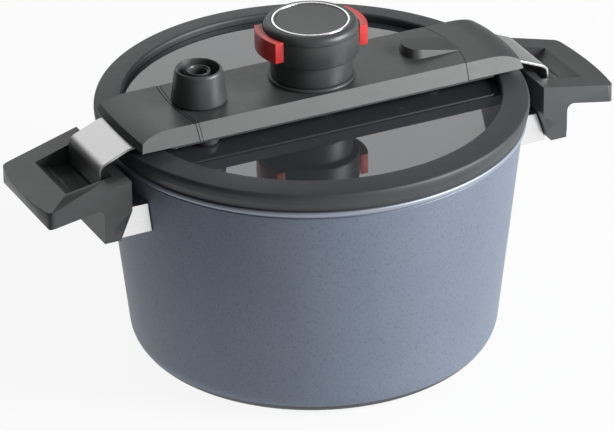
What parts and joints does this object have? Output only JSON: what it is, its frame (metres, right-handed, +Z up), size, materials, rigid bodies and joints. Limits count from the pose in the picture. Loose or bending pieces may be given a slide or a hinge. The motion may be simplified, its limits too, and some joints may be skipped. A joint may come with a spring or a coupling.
{
  "type": "pressure canner",
  "caption": "Cast stovetop pressure pot with drop handles and a glass lid held down by a cross bar, whose knob draws two steel hooks under the handles.",
  "frame": {"origin": "centre of the pot's underside", "axes": "+X along the cross bar towards its release cap, +Z up"},
  "size_m": [0.3758, 0.258, 0.2086],
  "materials": {
    "pot_coating": "cast aluminium under a sparkling grey-blue coat",
    "black_plastic": "fine satin moulded phenolic, dark grey",
    "polished_steel": "polished stainless steel",
    "satin_steel": "satin stainless steel strip",
    "plain_steel": "plain stainless steel",
    "grey_silicone": "matte dark grey silicone",
    "red_plastic": "satin red plastic",
    "tinted_glass": "smoked toughened glass",
    "brass": "turned brass"
  },
  "bodies": {
    "pot": {"pot_body": "pot_coating", "base_disc": "plain_steel", "bracket_left": "polished_steel", "bracket_right": "polished_steel", "handle_left": "black_plastic", "handle_right": "black_plastic", "handle_screw_left": "plain_steel", "handle_screw_right": "plain_steel"},
    "lid": {"lid_glass": "tinted_glass", "lid_ring": "grey_silicone", "rim_seal": "grey_silicone", "lid_hub": "plain_steel", "hub_gasket_top": "grey_silicone", "hub_gasket_bottom": "grey_silicone", "hub_nut": "plain_steel", "foot_left_front": "grey_silicone", "foot_left_back": "grey_silicone", "foot_right_front": "grey_silicone", "foot_right_back": "grey_silicone", "bar_base": "black_plastic", "bar_cover": "black_plastic", "end_cap_left": "black_plastic", "cover_screw_1": "plain_steel", "cover_screw_2": "plain_steel", "cover_screw_3": "plain_steel", "cover_screw_4": "plain_steel", "cap_screw_1": "plain_steel", "cap_screw_2": "plain_steel", "hub_screw_1": "plain_steel", "hub_screw_2": "plain_steel", "release_spring": "plain_steel", "knob_collar": "black_plastic", "knob_pedestal": "black_plastic", "valve_stem": "brass", "valve_gasket": "grey_silicone", "valve_nut": "brass"},
    "knob": {"pinion": "plain_steel", "spindle": "plain_steel", "knob_body": "black_plastic", "knob_cap": "black_plastic", "knob_trim_ring": "polished_steel", "grip_wing_left": "red_plastic", "grip_wing_right": "red_plastic", "knob_screw": "plain_steel"},
    "left_hook": {"hook_left": "satin_steel"},
    "right_hook": {"hook_right": "satin_steel"},
    "release": {"end_cap_right": "black_plastic"},
    "steam_valve": {"valve_cone": "black_plastic"},
    "indicator": {"valve_pin": "plain_steel"}
  },
  "joints": [
    {"name": "lid_lift", "type": "slide", "parent": "pot", "child": "lid", "axis": [0, 0, 1], "range_m": [0, 0.12]},
    {"name": "knob_turn", "type": "hinge", "parent": "lid", "child": "knob", "pos_m": [0, 0, 0.19], "axis": [0, 0, 1], "range_deg": [0, 40]},
    {"name": "left_hook_slide", "type": "slide", "parent": "lid", "child": "left_hook", "axis": [1, 0, 0], "range_m": [0, 0.0045]},
    {"name": "right_hook_slide", "type": "slide", "parent": "lid", "child": "right_hook", "axis": [-1, 0, 0], "range_m": [0, 0.0045]},
    {"name": "release_slide", "type": "slide", "parent": "lid", "child": "release", "axis": [1, 0, 0], "range_m": [0, 0.003], "stiffness_N_per_m": 300, "springref_m": -0.002, "deforming": ["release_spring"]},
    {"name": "valve_turn", "type": "hinge", "parent": "lid", "child": "steam_valve", "pos_m": [-0.073, 0, 0.18], "axis": [0, 0, 1], "range_deg": [0, 90]},
    {"name": "indicator_rise", "type": "slide", "parent": "lid", "child": "indicator", "axis": [0, 0, 1], "range_m": [0, 0.004]}
  ],
  "couplings": [
    {"joint": "left_hook_slide", "follows": "knob_turn", "m_per_rad": 0.0064},
    {"joint": "right_hook_slide", "follows": "knob_turn", "m_per_rad": 0.0064}
  ]
}
